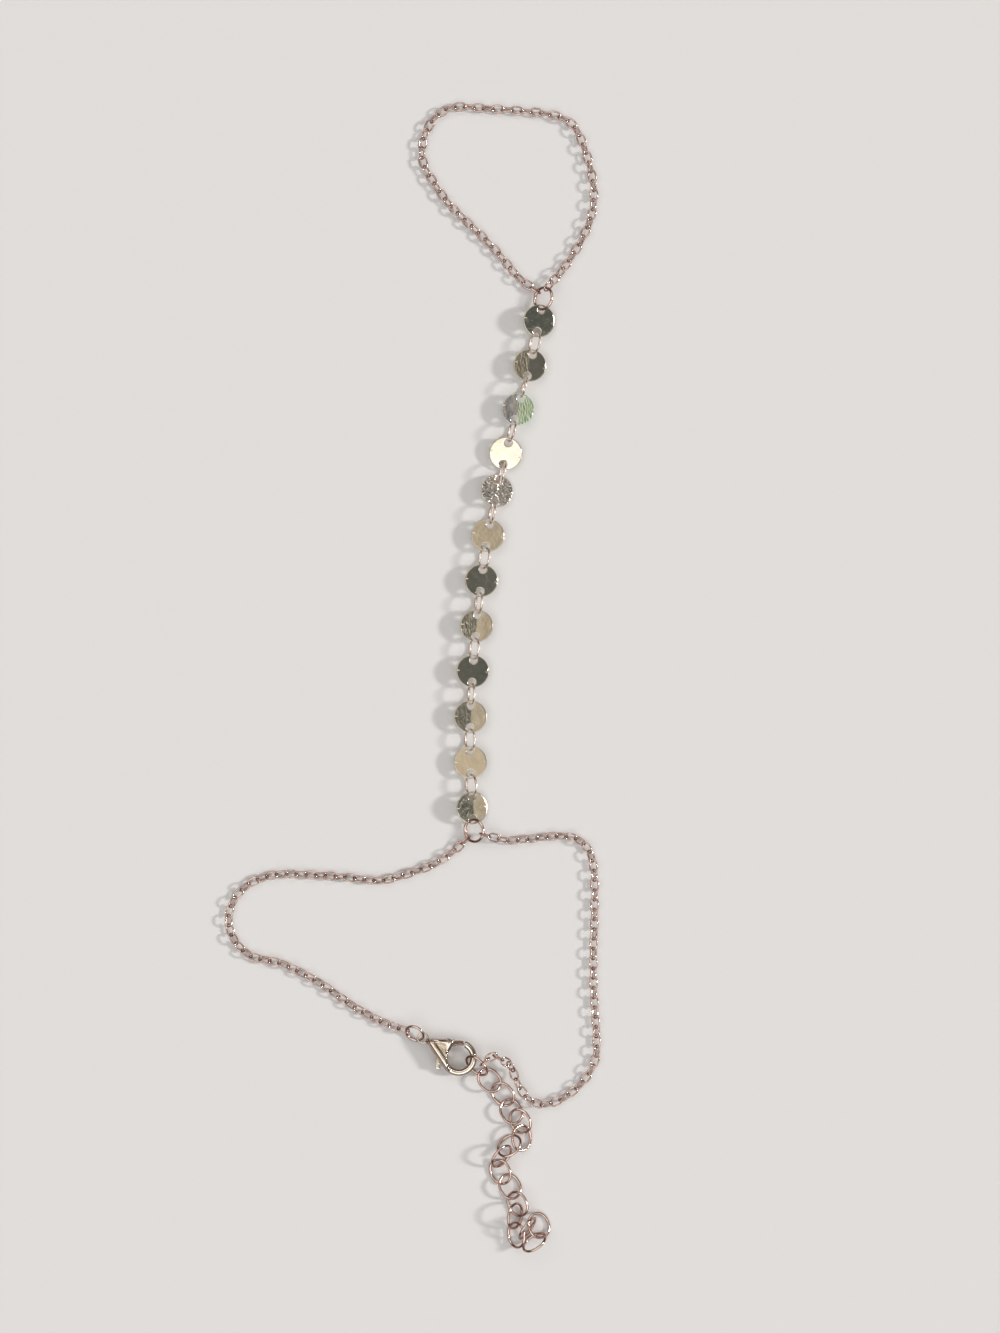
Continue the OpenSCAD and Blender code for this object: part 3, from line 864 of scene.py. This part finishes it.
@dataclass(frozen=True)
class Studio:
    """A pale floor, soft light and the camera over it.

    Lengths are in millimetres and angles in degrees. Stops pair an angle with a colour.
    """

    middle: tuple[float, float] = (13.75, 1.33)
    frame_height: float = 208.28
    camera_height: float = 600.0
    sensor: float = 36.0
    clip_near: float = 10.0
    clip_far: float = 20000.0
    floor_colour: Colour = (0.80, 0.785, 0.79)
    floor_rough: float = 0.6
    floor_half: float = 1500.0
    sun_height: float = 30.0
    sun_turn: float = 3.0
    sun_spread: float = 8.0
    sun_strength: float = 1.85
    sun_colour: Colour = (1.0, 0.97, 0.93)
    room_strength: float = 1.0
    overhead: Colour = (1.47, 1.49, 1.47)
    backdrop: Colour = (0.72, 0.70, 0.69)
    strip_stops: Stops = (
        (-90, (1.0, 1.0, 1.0)), (-30, (1.05, 1.03, 1.0)), (-14, (0.70, 0.61, 0.49)),
        (0, (0.66, 0.58, 0.47)), (3.4, (0.50, 0.46, 0.41)), (5.2, (0.095, 0.106, 0.104)),
        (9.0, (0.09, 0.10, 0.098)), (12.8, (0.18, 0.18, 0.175)), (16, (0.095, 0.106, 0.104)),
        (42, (0.095, 0.106, 0.104)), (45, (0.60, 0.52, 0.42)), (55, (1.0, 0.98, 0.95)),
        (90, (1.0, 0.98, 0.95)))
    strip_edges: Stops = (
        (-11, (0.0, 0.0, 0.0)), (-8, (1.0, 1.0, 1.0)), (24, (1.0, 1.0, 1.0)), (28, (0.0, 0.0, 0.0)))
    fall_stops: Stops = (
        (0, (0.07, 0.06, 0.055)), (36, (0.06, 0.05, 0.045)), (46, (1.0, 1.0, 1.0)),
        (90, (1.0, 1.0, 1.0)))

    def floor(self) -> None:
        """A flat plain floor in a matt near-white."""
        corners = np.array([[-1, -1, 0], [1, -1, 0], [1, 1, 0], [-1, 1, 0]])
        obj = make_object("floor", corners * self.floor_half * MM, np.array([[0, 1, 2, 3]]))
        material = bpy.data.materials.new("pale_floor")
        material.use_nodes = True
        shader = material.node_tree.nodes["Principled BSDF"]
        shader.inputs["Base Color"].default_value = (*self.floor_colour, 1.0)
        shader.inputs["Roughness"].default_value = self.floor_rough
        obj.data.materials.append(material)

    def sun(self) -> None:
        """Low soft light from the right, which throws the shadows to the left."""
        light = bpy.data.lights.new("low_light_from_the_right", "SUN")
        light.energy = self.sun_strength
        light.angle = math.radians(self.sun_spread)
        light.color = self.sun_colour
        obj = bpy.data.objects.new("low_light_from_the_right", light)
        height, turn = math.radians(self.sun_height), math.radians(self.sun_turn)
        level = math.cos(height)
        way = Vector((level * math.cos(turn), level * math.sin(turn), math.sin(height)))
        obj.rotation_euler = (-way).to_track_quat("-Z", "Y").to_euler()
        bpy.context.scene.collection.objects.link(obj)

    def world(self) -> None:
        """The room round the floor, as the metal mirrors it.

        Overhead it is bright out to 45 degrees from the zenith and falls to a dim wall from
        there. A strip of cards hangs across the middle: tan over the bracelet, dark to the right
        of it. The strip lies where the angle from the zenith towards +Y is from about -9 to 26
        degrees, and its colours follow the angle from the zenith towards +X. None of it is seen
        straight on: behind the floor's edge a camera sees a plain pale backdrop.
        """
        world = bpy.data.worlds.new("studio")
        bpy.context.scene.world = world
        world.use_nodes = True
        tree = world.node_tree
        back = tree.nodes["Background"]
        place = tree.nodes.new("ShaderNodeTexCoord")
        split = tree.nodes.new("ShaderNodeSeparateXYZ")
        tree.links.new(place.outputs["Generated"], split.inputs["Vector"])

        def angle(operation: str, *axes: str) -> Socket:
            """An angle of the direction that is looked in, brought from -90..90 degrees to 0..1.

            Args:
                operation: the Math node's operation that gives the angle.
                axes: the parts of the direction that it takes.

            Returns:
                The socket with the angle.
            """
            turn = tree.nodes.new("ShaderNodeMath")
            turn.operation = operation
            for number, axis in enumerate(axes):
                tree.links.new(split.outputs[axis], turn.inputs[number])
            span = tree.nodes.new("ShaderNodeMapRange")
            span.inputs["From Min"].default_value = -math.pi / 2
            span.inputs["From Max"].default_value = math.pi / 2
            tree.links.new(turn.outputs["Value"], span.inputs["Value"])
            return span.outputs["Result"]

        def ramp(value: Socket, stops: Stops) -> Socket:
            """Colours set at angles in degrees, blended in between.

            Args:
                value: the angle's socket.
                stops: the angles and their colours.

            Returns:
                The socket with the colour.
            """
            node = tree.nodes.new("ShaderNodeValToRGB")
            elements = node.color_ramp.elements
            while len(elements) < len(stops):
                elements.new(0.5)
            for element, (degrees, colour) in zip(elements, stops):
                element.position = (degrees + 90) / 180
                element.color = (*colour, 1.0)
            tree.links.new(value, node.inputs["Fac"])
            return node.outputs["Color"]

        def mixed(kind: str, share: Socket | None, one: Mixed, other: Mixed) -> Socket:
            """Two colours mixed by a share, or multiplied.

            Args:
                kind: the Mix node's blend type.
                share: the other colour's share; all of it where there is none.
                one: the first colour, or its socket.
                other: the second colour, or its socket.

            Returns:
                The socket with the result.
            """
            node = tree.nodes.new("ShaderNodeMix")
            node.data_type = "RGBA"
            node.blend_type = kind
            node.inputs["Factor"].default_value = 1.0
            if share is not None:
                tree.links.new(share, node.inputs["Factor"])
            for socket, colour in ((node.inputs["A"], one), (node.inputs["B"], other)):
                if isinstance(colour, tuple):
                    socket.default_value = (*colour, 1.0)
                else:
                    tree.links.new(colour, socket)
            return node.outputs["Result"]

        strip = ramp(angle("ARCTAN2", "X", "Z"), self.strip_stops)
        over = ramp(angle("ARCTAN2", "Y", "Z"), self.strip_edges)
        fall = ramp(angle("ARCSINE", "Z"), self.fall_stops)
        overhead = mixed("MIX", over, self.overhead, strip)
        seen = tree.nodes.new("ShaderNodeLightPath")
        room = mixed("MULTIPLY", None, overhead, fall)
        shown = mixed("MIX", seen.outputs["Is Camera Ray"], room, self.backdrop)
        tree.links.new(shown, back.inputs["Color"])
        back.inputs["Strength"].default_value = self.room_strength

    def camera(self) -> None:
        """A camera straight over the middle of the photograph's frame, level with its sides."""
        data = bpy.data.cameras.new("over_the_floor")
        data.sensor_width = self.sensor
        data.lens = self.sensor * self.camera_height / self.frame_height
        data.clip_start, data.clip_end = self.clip_near * MM, self.clip_far * MM
        obj = bpy.data.objects.new("over_the_floor", data)
        obj.location = Vector((*self.middle, self.camera_height)) * MM
        bpy.context.scene.collection.objects.link(obj)
        bpy.context.scene.camera = obj

    def build(self) -> None:
        """Sets up floor, lights and camera."""
        self.floor()
        self.world()
        self.sun()
        self.camera()
        bpy.context.scene.view_settings.view_transform = "Standard"
        log.info("studio: camera %.0f mm over the floor", self.camera_height)


def main() -> None:
    """Builds the sub-assemblies in order."""
    logging.basicConfig(level=logging.INFO, format="%(message)s")
    Studio().build()
    Chains().build()
    for disc in DISCS:
        disc.build()
    Clasp().build()


if __name__ == "__main__":
    main()
